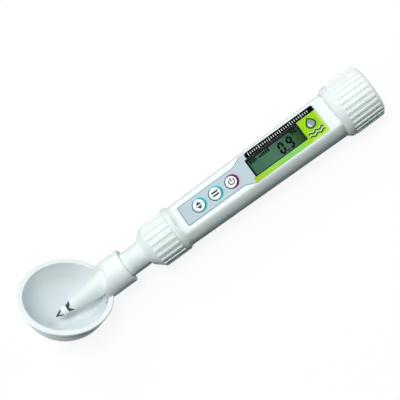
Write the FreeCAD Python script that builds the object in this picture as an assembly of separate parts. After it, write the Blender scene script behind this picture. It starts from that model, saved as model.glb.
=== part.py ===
import FreeCAD, Part
import math
import os

# Food salinity meter. All sizes in mm.
# The handle lies along X: the battery cap's flat end is at x = 0 and the spoon points to -X.
# +Z is the way the display faces, and y = z = 0 is the handle's axis.

# Battery cap
cap_length = 25.5
cap_radius = 16.8
cap_end_radius = 16.4
cap_mouth_radius = 14.5
cap_neck_length = 4.1
cap_corner = 3.4
cap_end_wall = 3.4
cap_rib_count = 30
cap_rib_height = 0.5
cap_rib_length = 18.6
cap_rib_inset = 1.9
cap_shoulder_radius = 16.5
cap_shoulder_length = 0.8
cap_flare_radius = 15.8
cap_flare_length = 1.4
cap_neck_round = 1.0

# Body casing
body_length = 107.7
body_radius_cap = 14.2
body_radius_probe = 12.9
body_wall = 2.0
neck_radius = 12.5
neck_length = 19.9
neck_bore_radius = 10.6
flange_radius = 14.1
flange_length = 2.0
flange_chamfer = 1.5
front_neck_radius = 11.4
front_neck_length = 11.8
front_bore_radius = 8.6
front_wall = 1.2

# Flat display face
face_height = 9.2
face_wall = 1.8
face_front_margin = 1.8
face_ramp = 0.7

# Face label
label_thickness = 0.5
label_recess = 0.35
label_front_gap = 5.3
label_back_gap = 7.0
label_narrow_half = 6.55
label_wide_half = 9.5
label_shoulder = 6.7
label_narrow_length = 38.8
label_corner = 1.0

# Display
window_length = 34.8
window_width = 11.5
window_back_gap = 20.5
lens_margin = 1.2
lens_thickness = 1.2
lcd_margin = 0.7
lcd_thickness = 2.2
lcd_ledge = 2.2
zebra_thickness = 1.6
frame_lip = 0.65
frame_wall = 0.75
frame_top = 0.8

# Buttons and their switches
button_radius = 3.7
button_proud = 0.5
button_pitch = 11.3
button_count = 3
button_first_gap = 13.1
button_travel = 0.4
button_flange = 0.7
button_flange_thickness = 0.8
button_edge_round = 0.3
button_dish_radius = 3.1
button_dish_depth = 0.25
switch_side = 6.0
switch_height = 3.2
plunger_radius = 1.7
plunger_depth = 1.2

# Main board and what stands on it
board_top = 2.6
board_thickness = 1.6
board_half_width = 9.5
board_tongue_half = 7.2
board_tongue = 4.0
board_end_gap = 1.0
rail_depth = 1.6
rail_thickness = 1.2
chip_side = 9.0
chip_thickness = 1.5
crystal_length = 8.0
crystal_radius = 1.5
screw_radius = 1.0
screw_head_radius = 1.9
screw_head_height = 1.2
screw_spacing = 8.0
screw_depth = 1.9
screw_slot_half = 0.25
screw_slot_depth = 0.6

# Batteries
cell_radius = 5.8
cell_thickness = 5.4
cell_count = 4
cell_pole_height = 0.6
cell_pole_inset = 0.8
cell_edge_round = 0.4
holder_wall = 1.2
holder_flange_radius = 12.0
holder_flange_thickness = 1.0
tongue_length = 6.2
tongue_thickness = 2.6
contact_thickness = 0.4
contact_inset = 0.4
ring_contact_gap = 1.6
strip_half = 1.2
strip_gap = 0.4
cap_contact_radius = 11.4
cap_hub_radius = 4.0
spring_room = 2.2
spring_thickness = 0.3
spring_outer_radius = 5.0
spring_inner_radius = 2.0

# Collar nut
collar_radius = 14.1
collar_front_radius = 8.8
collar_front_length = 5.6
collar_rib_count = 22
collar_rib_height = 0.5
collar_rib_length = 14.6
collar_length = 20.75
collar_rib_gap = 0.4
collar_round = 2.0

# Rib section, as shares of the ribs' pitch, and how far a rib's raw bar reaches past its surfaces
rib_foot_share = 0.28
rib_top_share = 0.10
rib_overlap = 0.6

# Probe
stem_radius = 7.6
stem_step = 0.45
stem_length = 13.4
probe_flange_radius = 11.0
probe_flange_thickness = 2.9
spigot_radius = 8.4
spigot_length = 8.0
spigot_wall = 1.4
sleeve_seat_length = 14.6
nose_length = 24.5
nose_end_radius = 3.45
nose_solid_share = 0.4
nose_round = 6.0
probe_wall = 1.9
hollow_end_radius = 2.1
ring_length = 3.2
ring_front_radius = 2.0
spacer_length = 3.5
spacer_radius = 2.7
tip_length = 4.7
tip_radius = 2.35
tip_point_radius = 0.35
core_radius = 0.8
core_sleeve_radius = 1.35
ring_spigot_radius = 1.7
ring_spigot_length = 3.4
core_step = 1.0
pin_radius = 0.5
pin_circle = 3.6
pin_count = 4
pin_length = 8.0
plug_thickness = 4.0
pin_slack = 0.6
socket_length = 5.8
thermistor_radius = 1.2
lead_radius = 0.4
lead_spacing = 2.0

# Spoon
rim_radius = 27.4
rim_thickness = 1.5
rim_round = 0.6
bowl_inner_radius = 24.4
bowl_inner_depth = 23.8
bowl_wall = 1.7
bowl_foot_depth = 0.3
bowl_tilt = 31.9
spoon_turn = 14.7
rim_drop = 3.3
rim_reach = 13.7
sleeve_wall = 3.3
sleeve_lip = 1.8
sleeve_reach = 12.0
grip_ring_width = 2.2
grip_ring_depth = 1.2

# Clearances
running_gap = 0.08
slide_gap = 0.1
seat_gap = 0.05
bond_gap = 0.02
cut_over = 1.0
o_ring = 1.2
cap_seal_gap = 3.4
probe_seal_gap = 1.6

# Places along X, worked out from the sizes above
x_cap_mouth = -cap_length
x_body_back = x_cap_mouth - slide_gap
x_neck_end = x_body_back + neck_length
x_body_front = x_body_back - body_length
x_flange_front = x_body_front - flange_chamfer - flange_length
x_front_end = x_flange_front - front_neck_length
x_face_front = x_body_front + face_front_margin
x_label_back = x_body_back - label_back_gap
x_label_front = x_body_front + label_front_gap
x_window_back = x_body_back - window_back_gap
x_window_front = x_window_back - window_length
x_window_mid = (x_window_back + x_window_front) / 2
x_button = [x_window_front - button_first_gap - i * button_pitch for i in range(button_count)]
x_probe_flange_back = x_front_end - seat_gap
x_probe_flange_front = x_probe_flange_back - probe_flange_thickness
x_spigot_end = x_probe_flange_back + spigot_length
x_collar_back = x_flange_front - slide_gap
x_collar_front = x_collar_back - collar_length
x_stem_step = x_collar_front - stem_length
x_nose_back = x_stem_step - sleeve_seat_length
x_nose_front = x_nose_back - nose_length
x_spacer_back = x_nose_front - ring_length
x_tip_back = x_spacer_back - spacer_length
x_tip = x_tip_back - tip_length
x_hollow_end = x_nose_front + nose_length * nose_solid_share
x_groove = x_stem_step - sleeve_seat_length / 2 - grip_ring_width / 2
x_front_bore = x_body_front + front_wall
x_socket_front = x_front_bore - socket_length
x_board_front = x_front_bore + seat_gap
x_holder_back = x_neck_end + holder_flange_thickness
x_cell_back = x_holder_back - spring_room
x_cell_front = x_cell_back - cell_count * cell_thickness
x_holder_front = x_cell_front - contact_thickness - holder_wall
x_hollow_back = x_holder_front - seat_gap
x_board_back = x_hollow_back - board_end_gap

# Heights above the axis
z_face_inside = face_height - face_wall
z_label_bottom = face_height - label_recess
z_label_top = z_label_bottom + label_thickness
z_board_bottom = board_top - board_thickness
z_frame_top = z_face_inside - seat_gap
z_lcd_top = z_frame_top - frame_top
z_lcd_bottom = z_lcd_top - lcd_thickness
z_lcd_split = z_lcd_top - lcd_thickness / 2
z_button_top = z_label_top + button_proud
z_button_flange = z_face_inside - seat_gap
z_button_bottom = z_button_flange - button_flange_thickness
z_switch_top = board_top + switch_height

# Radii that follow from a fit
stem_front_radius = stem_radius - stem_step
sleeve_bore = stem_front_radius + slide_gap
sleeve_radius = sleeve_bore + sleeve_wall
stem_bore = stem_front_radius - probe_wall
cap_bore = neck_radius + slide_gap
collar_bore = front_neck_radius + slide_gap
lcd_half_length = window_length / 2 + lcd_margin
lcd_half_width = window_width / 2 + lcd_margin
frame_half_length = lcd_half_length + seat_gap + frame_wall
frame_half_width = lcd_half_width + seat_gap + frame_wall
holder_radius = neck_bore_radius - slide_gap
plug_radius = spigot_radius - spigot_wall

X_AXIS = FreeCAD.Vector(1, 0, 0)
Z_AXIS = FreeCAD.Vector(0, 0, 1)
ORIGIN = FreeCAD.Vector(0, 0, 0)


def save(name, shape):
    """Write one named piece."""
    shape.removeSplitter().exportStep("parts/" + name + ".step")


def outline(points, rounds, place):
    """A closed face through points (a, b), with the corners in rounds (index: radius) made as arcs."""
    corners = [place(a, b) for a, b in points]
    count = len(corners)
    starts, ends, middles = [], [], []
    for i, corner in enumerate(corners):
        radius = rounds.get(i, 0)
        if radius == 0:
            starts.append(corner)
            ends.append(corner)
            middles.append(None)
            continue
        back = (corners[i - 1] - corner).normalize()
        ahead = (corners[(i + 1) % count] - corner).normalize()
        half = back.getAngle(ahead) / 2
        bisector = (back + ahead).normalize()
        starts.append(corner + back * (radius / math.tan(half)))
        ends.append(corner + ahead * (radius / math.tan(half)))
        middles.append(corner + bisector * (radius / math.sin(half) - radius))
    edges = []
    for i in range(count):
        if middles[i] is not None:
            edges.append(Part.Arc(starts[i], middles[i], ends[i]).toShape())
        edges.append(Part.LineSegment(ends[i], starts[(i + 1) % count]).toShape())
    return Part.Face(Part.Wire(edges))


def turned(points, rounds={}):
    """A solid of revolution about the handle's axis, from points (x, radius)."""
    face = outline(points, rounds, lambda x, r: FreeCAD.Vector(x, 0, r))
    return face.revolve(ORIGIN, X_AXIS, 360)


def tube(x0, x1, outer, inner=0.0):
    """A plain round bar or tube along the handle's axis, from x0 to x1."""
    bar = Part.makeCylinder(outer, x1 - x0, FreeCAD.Vector(x0, 0, 0), X_AXIS)
    if inner > 0:
        bar = bar.cut(Part.makeCylinder(inner, x1 - x0, FreeCAD.Vector(x0, 0, 0), X_AXIS))
    return bar


def block(x0, x1, y0, y1, z0, z1):
    """A box between two corners."""
    return Part.makeBox(x1 - x0, y1 - y0, z1 - z0, FreeCAD.Vector(x0, y0, z0))


def post(x, y, z0, z1, radius):
    """A round post along Z."""
    return Part.makeCylinder(radius, z1 - z0, FreeCAD.Vector(x, y, z0), Z_AXIS)


def sheet(points, rounds, z0, z1):
    """A flat plate of the outline points (x, y), from z0 to z1."""
    face = outline(points, rounds, lambda x, y: FreeCAD.Vector(x, y, z0))
    return face.extrude(FreeCAD.Vector(0, 0, z1 - z0))


def round_about(shape, count):
    """Copies of one solid, evenly spaced about the handle's axis."""
    copies = []
    for i in range(count):
        copy = shape.copy()
        copy.rotate(ORIGIN, X_AXIS, i * 360.0 / count)
        copies.append(copy)
    return copies


def ribs(x0, x1, valley, crest, pitch_width, count):
    """Raised ribs with sloping sides round the axis, from inside the valley surface to past the crest."""
    low, high = valley - rib_overlap, crest + rib_overlap
    foot, top = pitch_width * rib_foot_share, pitch_width * rib_top_share
    face = outline([(-foot, low), (foot, low), (top, high), (-top, high)], {},
                   lambda y, z: FreeCAD.Vector(x0, y, z))
    return round_about(face.extrude(FreeCAD.Vector(x1 - x0, 0, 0)), count)


def body_radius(x):
    """Outer radius of the slightly conical body at x."""
    share = (x - x_body_front) / (x_body_back - x_body_front)
    return body_radius_probe + (body_radius_cap - body_radius_probe) * share


def body_core(wall):
    """The body's outer shape taken in by a wall, over the length of the hollow."""
    return turned([
        (x_front_bore, 0), (x_front_bore, body_radius(x_front_bore) - wall),
        (x_hollow_back, body_radius(x_hollow_back) - wall), (x_hollow_back, 0)])


def label_outline(grow):
    """Corners of the face label, narrow round the buttons and wide round the display."""
    x_shoulder = x_label_front + label_narrow_length
    narrow, wide = label_narrow_half + grow, label_wide_half + grow
    front, back = x_label_front - grow, x_label_back + grow
    return [(front, -narrow), (x_shoulder, -narrow), (x_shoulder + label_shoulder, -wide), (back, -wide),
            (back, wide), (x_shoulder + label_shoulder, wide), (x_shoulder, narrow), (front, narrow)]


def label_sheet(grow, z0, z1):
    rounds = {0: label_corner, 3: label_corner, 4: label_corner, 7: label_corner}
    return sheet(label_outline(grow), rounds, z0, z1)


def window_block(grow, z0, z1):
    """A block over the display window, larger by grow on each side."""
    half = window_width / 2 + grow
    return block(x_window_front - grow, x_window_back + grow, -half, half, z0, z1)


def make_body_casing():
    outer = turned([
        (x_neck_end, 0), (x_neck_end, neck_radius), (x_body_back, neck_radius),
        (x_body_back, body_radius_cap), (x_body_front, body_radius_probe),
        (x_body_front - flange_chamfer, flange_radius), (x_flange_front, flange_radius),
        (x_flange_front, front_neck_radius), (x_front_end, front_neck_radius), (x_front_end, 0)])
    above = 2 * body_radius_cap
    ramp = (above - face_height) * face_ramp
    flat = outline([
        (x_face_front, face_height), (x_body_back, face_height), (x_body_back, above),
        (x_face_front - ramp, above)], {},
        lambda x, z: FreeCAD.Vector(x, -above, z)).extrude(FreeCAD.Vector(0, 2 * above, 0))
    casing = outer.cut(flat.common(tube(x_body_front, x_body_back, above)))

    # The hollow follows the outside, and is flat under the face, as far as a wall past the face's end
    under_face = block(x_front_bore, x_body_back + body_wall, -above, above, z_face_inside, above)
    hollow = body_core(body_wall).fuse(tube(x_hollow_back, x_neck_end, neck_bore_radius))
    casing = casing.cut(hollow.cut(under_face))
    casing = casing.cut(tube(x_front_end, x_front_bore, front_bore_radius))
    casing = casing.cut(seal_groove(x_body_back + cap_seal_gap, neck_radius))

    # Two pairs of rails guide the board's edges
    board_low, board_high = z_board_bottom - seat_gap, board_top + seat_gap
    for side in (-1, 1):
        y_in = side * (board_half_width - rail_depth)
        y_out = side * above
        low_y, high_y = min(y_in, y_out), max(y_in, y_out)
        for z0, z1 in ((board_low - rail_thickness, board_low), (board_high, board_high + rail_thickness)):
            rail = block(x_front_bore, x_board_back - tongue_length, low_y, high_y, z0, z1)
            casing = casing.fuse(rail.common(body_core(body_wall / 2)))

    casing = casing.cut(label_sheet(seat_gap, z_label_bottom, above))
    z_lens_seat = z_label_bottom - lens_thickness - seat_gap
    casing = casing.cut(window_block(lens_margin + seat_gap, z_lens_seat, above))
    casing = casing.cut(window_block(0, z_face_inside - cut_over, above))
    for x in x_button:
        casing = casing.cut(post(x, 0, z_face_inside - cut_over, above, button_radius + slide_gap))
    return casing


def seal_groove(x, radius):
    """The ring-shaped groove for an O-ring, cut into a round neck of the given radius."""
    return tube(x, x + o_ring + 2 * seat_gap, radius + cut_over, radius - o_ring)


def seal_ring(x, radius):
    """An O-ring seated in that groove, just clear of the bore round it."""
    middle = FreeCAD.Vector(x + o_ring / 2 + seat_gap, 0, 0)
    return Part.makeTorus(radius - o_ring / 2, (o_ring - bond_gap) / 2, middle, X_AXIS)


def make_face_label():
    label = label_sheet(0, z_label_bottom, z_label_top)
    label = label.cut(window_block(0, 0, 2 * face_height))
    for x in x_button:
        label = label.cut(post(x, 0, 0, 2 * face_height, button_radius + slide_gap))
    return label


def make_lcd_window():
    return window_block(lens_margin, z_label_bottom - lens_thickness, z_label_bottom)


def centred_block(x_mid, half_length, half_width, z0, z1):
    return block(x_mid - half_length, x_mid + half_length, -half_width, half_width, z0, z1)


def make_lcd_frame():
    frame = centred_block(x_window_mid, frame_half_length, frame_half_width, board_top, z_frame_top)
    pocket = centred_block(x_window_mid, lcd_half_length + seat_gap, lcd_half_width + seat_gap, 0, z_lcd_top)
    sight = centred_block(x_window_mid, window_length / 2 - frame_lip, window_width / 2 - frame_lip, 0,
                          2 * z_frame_top)
    return frame.cut(pocket).cut(sight)


def make_lcd_glass():
    """Two glass sheets: the upper one is wider, so that its contact ledges face the board."""
    upper = centred_block(x_window_mid, lcd_half_length, lcd_half_width, z_lcd_split, z_lcd_top)
    lower_half = lcd_half_width - lcd_ledge
    lower = centred_block(x_window_mid, lcd_half_length, lower_half, z_lcd_bottom, z_lcd_split)
    return upper.fuse(lower)


def make_zebra_strips():
    """Two strips of layered rubber, from the board up to the ledges of the upper glass."""
    middle = lcd_half_width - lcd_ledge / 2
    low, high = middle - zebra_thickness / 2, middle + zebra_thickness / 2
    return Part.makeCompound([
        block(x_window_front, x_window_back, low, high, board_top, z_lcd_split),
        block(x_window_front, x_window_back, -high, -low, board_top, z_lcd_split)])


def make_lcd_backing():
    """The white plate that carries the glass and shines through it."""
    half_width = lcd_half_width - lcd_ledge
    return centred_block(x_window_mid, window_length / 2, half_width, board_top, z_lcd_bottom)


def make_button(x):
    skirt = button_radius + button_flange
    cap = post(x, 0, z_button_bottom, z_button_top, button_radius)
    edge = [e for e in cap.Edges if e.BoundBox.ZMin > z_button_flange and e.Closed]
    cap = cap.makeFillet(button_edge_round, edge)
    ball = (button_dish_radius ** 2 + button_dish_depth ** 2) / (2 * button_dish_depth)
    dish = Part.makeSphere(ball, FreeCAD.Vector(x, 0, z_button_top + ball - button_dish_depth))
    return cap.fuse(post(x, 0, z_button_bottom, z_button_flange, skirt)).cut(dish)


def make_key_switch(x):
    half = switch_side / 2
    body = block(x - half, x + half, -half, half, board_top, z_switch_top)
    return body.cut(post(x, 0, z_switch_top - plunger_depth, z_switch_top, plunger_radius + slide_gap))


def make_key_plunger(x):
    return post(x, 0, z_switch_top - plunger_depth + button_travel + slide_gap, z_button_bottom, plunger_radius)


def screw_places():
    x = x_board_back - tongue_length / 2
    return [(x, -screw_spacing / 2), (x, screw_spacing / 2)]


def make_main_board():
    x_wide = x_board_front + board_tongue
    board = block(x_wide, x_board_back, -board_half_width, board_half_width, z_board_bottom, board_top)
    board = board.fuse(block(x_board_front, x_wide, -board_tongue_half, board_tongue_half,
                             z_board_bottom, board_top))
    for x, y in screw_places():
        board = board.cut(post(x, y, 0, board_top + cut_over, screw_radius + slide_gap))
    return board


def make_board_screws():
    screws = []
    for x, y in screw_places():
        z_head = board_top + screw_head_height
        head = post(x, y, board_top, z_head, screw_head_radius)
        shank = post(x, y, z_board_bottom - screw_depth, board_top, screw_radius)
        slot = block(x - screw_head_radius, x + screw_head_radius, y - screw_slot_half, y + screw_slot_half,
                     z_head - screw_slot_depth, z_head + cut_over)
        screws.append(head.fuse(shank).cut(slot))
    return Part.makeCompound(screws)


def make_controller_chip():
    x = x_window_mid
    half = chip_side / 2
    return block(x - half, x + half, -half, half, z_board_bottom - chip_thickness, z_board_bottom)


def make_clock_crystal():
    x = x_window_mid - chip_side
    z = z_board_bottom - crystal_radius
    return Part.makeCylinder(crystal_radius, crystal_length, FreeCAD.Vector(x, -crystal_length / 2, z),
                             FreeCAD.Vector(0, 1, 0))


def make_battery_holder():
    holder = tube(x_holder_front, x_neck_end, holder_radius)
    holder = holder.fuse(tube(x_neck_end, x_holder_back, holder_flange_radius))
    holder = holder.cut(tube(x_holder_front + holder_wall, x_holder_back, cell_radius + slide_gap))
    half = screw_spacing / 2 + screw_head_radius
    tongue = block(x_board_back - tongue_length, x_holder_front + holder_wall / 2, -half, half,
                   z_board_bottom - tongue_thickness, z_board_bottom)
    holder = holder.fuse(tongue)
    for x, y in screw_places():
        holder = holder.cut(post(x, y, z_board_bottom - screw_depth, z_board_bottom, screw_radius))
    x_flat_end = x_body_back + body_wall + slide_gap
    z_flat = z_face_inside - slide_gap
    flat = block(x_holder_front, x_flat_end, -holder_radius, holder_radius, z_flat, holder_radius)
    groove_half = strip_half + strip_gap
    groove = block(x_holder_front, x_holder_back, -groove_half, groove_half, -2 * holder_radius,
                   2 * contact_thickness - holder_radius)
    return holder.cut(flat).cut(groove)


def make_cell(i):
    """A button cell: a can with a smaller raised pole on the cap's side."""
    x0 = x_cell_front + i * cell_thickness
    x1 = x0 + cell_thickness
    x_pole = x1 - cell_pole_height
    pole_radius = cell_radius - cell_pole_inset
    return turned([(x0, 0), (x0, cell_radius), (x_pole, cell_radius), (x_pole, pole_radius),
                   (x1, pole_radius), (x1, 0)], {1: cell_edge_round, 4: cell_edge_round})


def make_inner_contact():
    return tube(x_cell_front - contact_thickness, x_cell_front, cell_radius - contact_inset)


def make_ring_contact():
    return tube(x_holder_back, x_holder_back + contact_thickness, holder_flange_radius - contact_inset,
                cell_radius + ring_contact_gap)


def make_return_strip():
    """A brass strip in the holder's groove, from the ring contact to the board's underside."""
    z = contact_thickness - holder_radius
    x_bend = x_holder_front - contact_thickness - seat_gap
    strip = block(x_bend, x_holder_back, -strip_half, strip_half, z, z + contact_thickness)
    riser = block(x_bend, x_bend + contact_thickness, -strip_half, strip_half, z,
                  z_board_bottom - tongue_thickness)
    return strip.fuse(riser)


def make_battery_cap():
    valley = cap_radius - cap_rib_height
    end_valley = cap_end_radius - cap_rib_height
    x_neck = x_cap_mouth + cap_neck_length
    core = turned([
        (0, 0), (0, end_valley), (x_neck, valley), (x_neck - cap_shoulder_length, cap_shoulder_radius),
        (x_cap_mouth + cap_flare_length, cap_flare_radius), (x_cap_mouth, cap_mouth_radius),
        (x_cap_mouth, cap_bore), (-cap_end_wall, cap_bore), (-cap_end_wall, 0)],
        {1: cap_corner, 4: cap_neck_round, 7: cap_neck_round})
    envelope = turned([
        (0, 0), (0, cap_end_radius), (x_cap_mouth, cap_radius), (x_cap_mouth, 0)], {1: cap_corner})
    pitch = 2 * math.pi * cap_radius / cap_rib_count
    x_rib = -cap_rib_inset - cap_rib_length
    rib_set = Part.makeCompound(ribs(x_rib, -cap_rib_inset, end_valley, cap_radius, pitch, cap_rib_count))
    return core.fuse(rib_set.common(envelope).Solids)


def make_cap_contact():
    x = x_holder_back + contact_thickness + seat_gap
    disc = tube(x, x + contact_thickness, cap_contact_radius)
    hub = tube(x + contact_thickness, -cap_end_wall - seat_gap, cap_hub_radius)
    return disc.fuse(hub)


def make_cap_spring():
    """Two conical disc springs, rim to rim, between the last cell and the cap's contact disc."""
    x_cell_side = x_cell_back + bond_gap
    x_cap_side = x_holder_back + contact_thickness
    x_rims = (x_cell_side + x_cap_side) / 2
    discs = []
    for x_hole, step in ((x_cell_side, 1), (x_cap_side, -1)):
        x_rim = x_rims - step * bond_gap
        thickness = step * spring_thickness
        discs.append(turned([
            (x_hole, spring_inner_radius), (x_rim - thickness, spring_outer_radius),
            (x_rim, spring_outer_radius), (x_hole + thickness, spring_inner_radius)]))
    return Part.makeCompound(discs)


def make_collar_nut():
    valley = collar_radius - collar_rib_height
    hole = stem_radius + running_gap
    x_ribs_front = x_collar_front + collar_front_length
    x_shelf = x_probe_flange_front - seat_gap
    core = turned([
        (x_collar_front, hole), (x_collar_front, collar_front_radius), (x_ribs_front, valley),
        (x_collar_back, valley), (x_collar_back, collar_bore), (x_shelf, collar_bore), (x_shelf, hole)],
        {2: collar_round})
    envelope = turned([
        (x_collar_front, hole), (x_collar_front, collar_front_radius), (x_ribs_front, collar_radius),
        (x_collar_back, collar_radius), (x_collar_back, hole)], {2: collar_round})
    pitch = 2 * math.pi * collar_radius / collar_rib_count
    x_rib_back = x_collar_back - collar_rib_gap
    rib_set = Part.makeCompound(ribs(x_rib_back - collar_rib_length, x_rib_back, valley, collar_radius, pitch,
                                     collar_rib_count))
    return core.fuse(rib_set.common(envelope).Solids)


def make_probe_stem():
    outer = turned([
        (x_spigot_end, 0), (x_spigot_end, spigot_radius), (x_probe_flange_back, spigot_radius),
        (x_probe_flange_back, probe_flange_radius), (x_probe_flange_front, probe_flange_radius),
        (x_probe_flange_front, stem_radius), (x_stem_step, stem_radius), (x_stem_step, stem_front_radius),
        (x_nose_back, stem_front_radius), (x_nose_front, nose_end_radius), (x_nose_front, 0)], {8: nose_round})
    inner = turned([
        (x_spigot_end, 0), (x_spigot_end, plug_radius), (x_spigot_end - plug_thickness, plug_radius),
        (x_spigot_end - plug_thickness, stem_bore), (x_nose_back, stem_bore), (x_hollow_end, hollow_end_radius),
        (x_hollow_end, 0)])
    core = tube(x_nose_front, x_hollow_end, ring_spigot_radius + seat_gap)
    stem = outer.cut(inner).cut(core)
    return stem.cut(seal_groove(x_probe_flange_back + probe_seal_gap, spigot_radius))


def make_electrode_ring():
    """The rear electrode: a cone with a spigot that goes into the nose."""
    x_inside = x_nose_front + ring_spigot_length
    bore = core_sleeve_radius + bond_gap
    return turned([
        (x_inside, bore), (x_inside, ring_spigot_radius), (x_nose_front, ring_spigot_radius),
        (x_nose_front, nose_end_radius), (x_spacer_back, ring_front_radius), (x_spacer_back, bore)])


def make_electrode_spacer():
    """The insulator between the electrodes, with a sleeve through the rear one."""
    x_inside = x_nose_front + ring_spigot_length + core_step
    bore = core_radius + bond_gap
    return turned([
        (x_inside, bore), (x_inside, core_sleeve_radius), (x_spacer_back, core_sleeve_radius),
        (x_spacer_back, spacer_radius), (x_tip_back, spacer_radius), (x_tip_back, bore)])


def make_electrode_tip():
    """The front electrode: a blunt point on a rod that passes through the insulator."""
    x_inside = x_nose_front + ring_spigot_length + 2 * core_step
    return turned([
        (x_inside, 0), (x_inside, core_radius), (x_tip_back, core_radius), (x_tip_back, tip_radius),
        (x_tip, tip_point_radius), (x_tip, 0)])


def make_thermistor():
    """The temperature bead, at the bottom of the stem's hollow."""
    return Part.makeSphere(thermistor_radius, FreeCAD.Vector(x_hollow_end + thermistor_radius + seat_gap, 0, 0))


def make_probe_leads():
    """Three wires from the plug to the two electrodes and the thermistor."""
    x_back = x_spigot_end - plug_thickness
    x_bead = x_hollow_end + 2 * thermistor_radius + 2 * seat_gap
    ends = [(-lead_spacing, x_nose_back), (0.0, x_bead), (lead_spacing, x_nose_back)]
    return Part.makeCompound([x_bar(y, 0, x_end, x_back, lead_radius) for y, x_end in ends])


def pin_places():
    """Centres (y, z) of the plug's pins, evenly spaced on a circle and clear of the axes."""
    angles = [2 * math.pi * (i + 0.5) / pin_count for i in range(pin_count)]
    return [(pin_circle * math.cos(a), pin_circle * math.sin(a)) for a in angles]


def x_bar(y, z, x0, x1, radius):
    """A round bar along X beside the handle's axis."""
    return Part.makeCylinder(radius, x1 - x0, FreeCAD.Vector(x0, y, z), X_AXIS)


def make_probe_plug():
    plug = tube(x_spigot_end - plug_thickness, x_spigot_end, plug_radius - bond_gap)
    for y, z in pin_places():
        plug = plug.cut(x_bar(y, z, x_spigot_end - plug_thickness, x_spigot_end, pin_radius))
    return plug


def make_plug_pins():
    x0 = x_spigot_end - plug_thickness
    return Part.makeCompound([x_bar(y, z, x0, x0 + pin_length, pin_radius) for y, z in pin_places()])


def make_probe_socket():
    socket = tube(x_socket_front, x_front_bore, front_bore_radius - bond_gap)
    depth = pin_length - plug_thickness + pin_slack
    for y, z in pin_places():
        socket = socket.cut(x_bar(y, z, x_socket_front, x_socket_front + depth, pin_radius + running_gap))
    return socket


def bowl_centre():
    """The middle of the rim: its near edge lies just below the axis, on the sleeve."""
    tilt = math.radians(bowl_tilt)
    x = x_stem_step - rim_reach - rim_radius * math.cos(tilt)
    return FreeCAD.Vector(x, 0, rim_radius * math.sin(tilt) - rim_drop)


def spoon_place(shape):
    """Move a shape from the bowl's own frame, rim level about Z, to its place on the handle."""
    shape.rotate(ORIGIN, FreeCAD.Vector(0, 1, 0), bowl_tilt)
    shape.translate(bowl_centre())
    return shape


def bowl_sphere(radius, depth):
    """Radius of the sphere that is as wide as radius at the rim plane and reaches depth below it."""
    return (radius ** 2 + depth ** 2) / (2 * depth)


def bowl_solid(radius, depth):
    """A round-bottomed solid below the rim plane, as wide as radius at the plane."""
    sphere = bowl_sphere(radius, depth)
    mid_angle = math.asin(min(radius / sphere, 1.0)) / 2
    bottom = FreeCAD.Vector(0, 0, -depth)
    middle = FreeCAD.Vector(sphere * math.sin(mid_angle), 0, sphere - depth - sphere * math.cos(mid_angle))
    edge = FreeCAD.Vector(radius, 0, 0)
    wire = Part.Wire([
        Part.Arc(bottom, middle, edge).toShape(), Part.LineSegment(edge, ORIGIN).toShape(),
        Part.LineSegment(ORIGIN, bottom).toShape()])
    return Part.Face(wire).revolve(ORIGIN, Z_AXIS, 360)


def bowl_foot(radius, depth):
    """What is cut off below the bowl, so that the meter lies on a small flat."""
    sphere = bowl_sphere(radius, depth)
    middle = spoon_place(Part.Vertex(0, 0, sphere - depth)).Point
    z_foot = middle.z - sphere + bowl_foot_depth
    return block(middle.x - sphere, middle.x + sphere, -sphere, sphere, z_foot - sphere, z_foot)


def make_spoon():
    outer_radius, outer_depth = bowl_inner_radius + bowl_wall, bowl_inner_depth + bowl_wall
    outer = bowl_solid(outer_radius, outer_depth)
    rim = Part.makeCylinder(rim_radius, rim_thickness, FreeCAD.Vector(0, 0, -rim_thickness), Z_AXIS)
    rim = rim.makeFillet(rim_round, [e for e in rim.Edges if e.Closed and e.Length > rim_radius])
    inner = bowl_solid(bowl_inner_radius, bowl_inner_depth)
    opening = Part.makeCylinder(bowl_inner_radius - sleeve_lip, 3 * bowl_inner_radius,
                                FreeCAD.Vector(0, 0, -bowl_inner_depth / 2), Z_AXIS)
    shell = spoon_place(outer.fuse(rim).cut(inner))
    clear = spoon_place(opening)
    cavity = spoon_place(bowl_solid(bowl_inner_radius - sleeve_lip, bowl_inner_depth - sleeve_lip))
    sleeve = tube(x_nose_back - sleeve_reach, x_stem_step, sleeve_radius)
    sleeve = sleeve.cut(clear).cut(cavity)
    sleeve = max(sleeve.Solids, key=lambda solid: solid.BoundBox.XMax)
    spoon = shell.fuse(sleeve).cut(bowl_foot(outer_radius, outer_depth))
    spoon = spoon.cut(tube(bowl_centre().x, x_stem_step, sleeve_bore))
    spoon = spoon.cut(tube(x_groove, x_groove + grip_ring_width, sleeve_bore + grip_ring_depth))
    spoon.rotate(ORIGIN, X_AXIS, -spoon_turn)
    return spoon


def make_spoon_grip_ring():
    """The ring in the sleeve's groove that grips the stem."""
    return tube(x_groove + seat_gap, x_groove + grip_ring_width - seat_gap,
                sleeve_bore + grip_ring_depth - seat_gap, stem_front_radius + bond_gap)


os.makedirs("parts", exist_ok=True)
save("body_casing", make_body_casing())
save("face_label", make_face_label())
save("lcd_window", make_lcd_window())
save("lcd_frame", make_lcd_frame())
save("lcd_glass", make_lcd_glass())
save("zebra_strips", make_zebra_strips())
save("lcd_backing", make_lcd_backing())
for number, x_key in enumerate(x_button, start=1):
    save("button_%d" % number, make_button(x_key))
    save("key_switch_%d" % number, make_key_switch(x_key))
    save("key_plunger_%d" % number, make_key_plunger(x_key))
save("main_board", make_main_board())
save("board_screws", make_board_screws())
save("controller_chip", make_controller_chip())
save("clock_crystal", make_clock_crystal())
save("battery_holder", make_battery_holder())
for number in range(cell_count):
    save("cell_%d" % (number + 1), make_cell(number))
save("inner_contact", make_inner_contact())
save("ring_contact", make_ring_contact())
save("return_strip", make_return_strip())
save("cap_seal", seal_ring(x_body_back + cap_seal_gap, neck_radius))
save("battery_cap", make_battery_cap())
save("cap_contact", make_cap_contact())
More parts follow.
